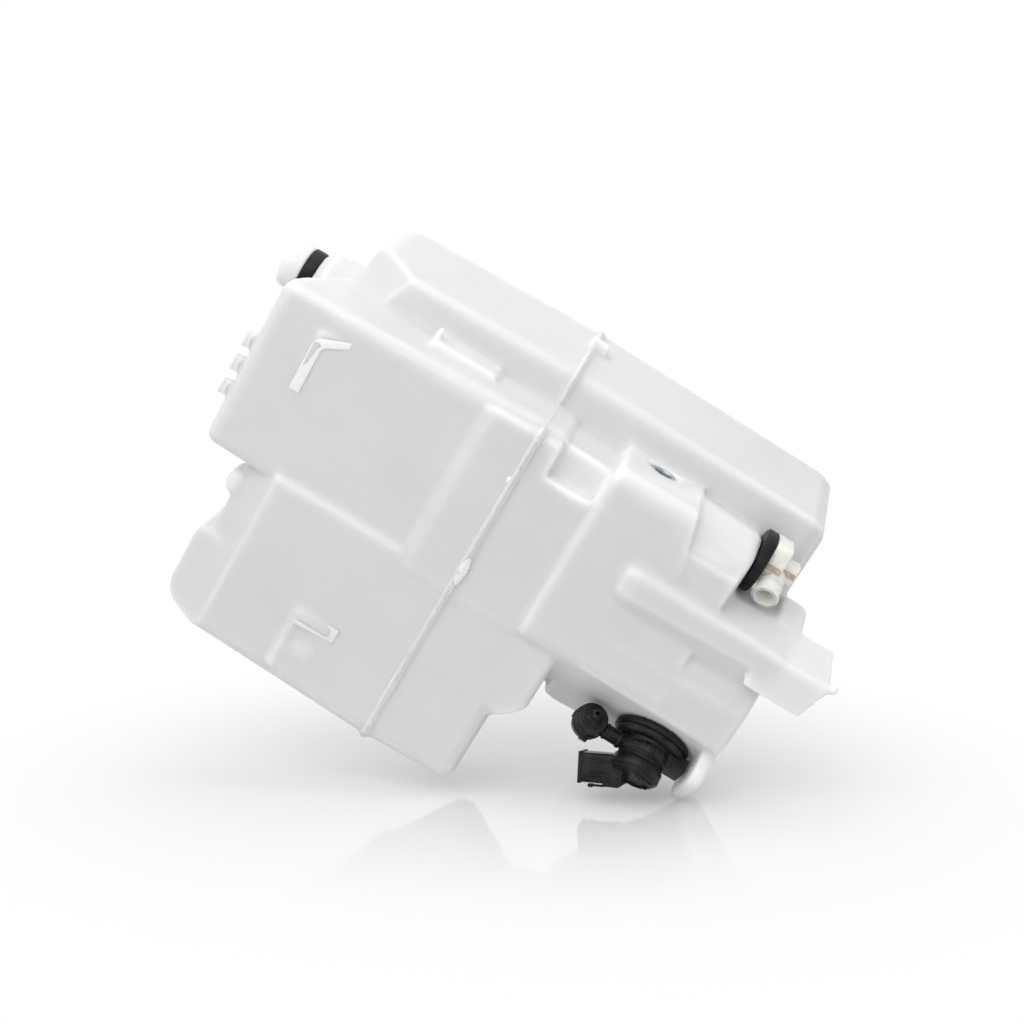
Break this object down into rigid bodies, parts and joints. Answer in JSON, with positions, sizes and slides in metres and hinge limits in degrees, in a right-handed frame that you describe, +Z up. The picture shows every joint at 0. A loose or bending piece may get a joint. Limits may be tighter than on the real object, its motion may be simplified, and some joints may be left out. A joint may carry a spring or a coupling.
{
  "type": "washer fluid reservoir",
  "caption": "Blow-moulded translucent washer fluid tank of stepped blocks with filler neck, side ear, foot, black pump with check valve and cream level sensor.",
  "frame": {"origin": "on the flat face of the mounting ear, 17 mm below its hole", "axes": "+Z up towards the filler neck, +X out of the ear's face, -Y towards the open front"},
  "size_m": [0.2565, 0.1633, 0.3957],
  "materials": {
    "natural_polyethylene": "translucent natural, blow-moulded",
    "black_plastic": "moulded, satin",
    "black_rubber": "moulded, soft sheen",
    "steel": "plated",
    "pin_brass": "tinned brass",
    "copper": "copper",
    "dark_ferrite": "sintered",
    "cream_plastic": "moulded, cream",
    "clear_glass": "clear",
    "float_foam": "closed-cell foam"
  },
  "bodies": {
    "reservoir": {"tank": "natural_polyethylene", "neck_seal": "black_rubber", "ear_sleeve": "steel", "pump_grommet": "black_rubber", "pump_housing": "black_plastic", "pump_cap": "black_plastic", "pump_pin_a": "pin_brass", "pump_pin_b": "pin_brass", "motor_can": "steel", "magnet_a": "dark_ferrite", "magnet_b": "dark_ferrite", "brush_plate": "black_plastic", "brush_a": "dark_ferrite", "brush_b": "dark_ferrite", "shaft_seal": "black_rubber", "intake_cover": "black_plastic", "intake_strainer": "black_plastic", "valve_cap": "black_plastic", "sensor_grommet": "black_rubber", "sensor_body": "cream_plastic", "sensor_pin_a": "pin_brass", "sensor_pin_b": "pin_brass", "sensor_stem": "black_plastic", "reed_switch": "clear_glass", "float_stop": "black_plastic"},
    "rotor": {"motor_shaft": "steel", "armature": "steel", "commutator": "copper", "impeller": "black_plastic"},
    "float": {"level_float": "float_foam", "float_magnet": "dark_ferrite"},
    "valve": {"valve_disc": "black_rubber"}
  },
  "joints": [
    {"name": "rotor_spin", "type": "hinge", "parent": "reservoir", "child": "rotor", "pos_m": [-0.1335, -0.0155, -0.057], "axis": [-0.749, -0.6626, 0], "continuous": true},
    {"name": "float_slide", "type": "slide", "parent": "reservoir", "child": "float", "axis": [0, 0, 1], "range_m": [0, 0.018]},
    {"name": "valve_lift", "type": "slide", "parent": "reservoir", "child": "valve", "axis": [0.6626, -0.749, 0], "range_m": [0, 0.001]}
  ]
}
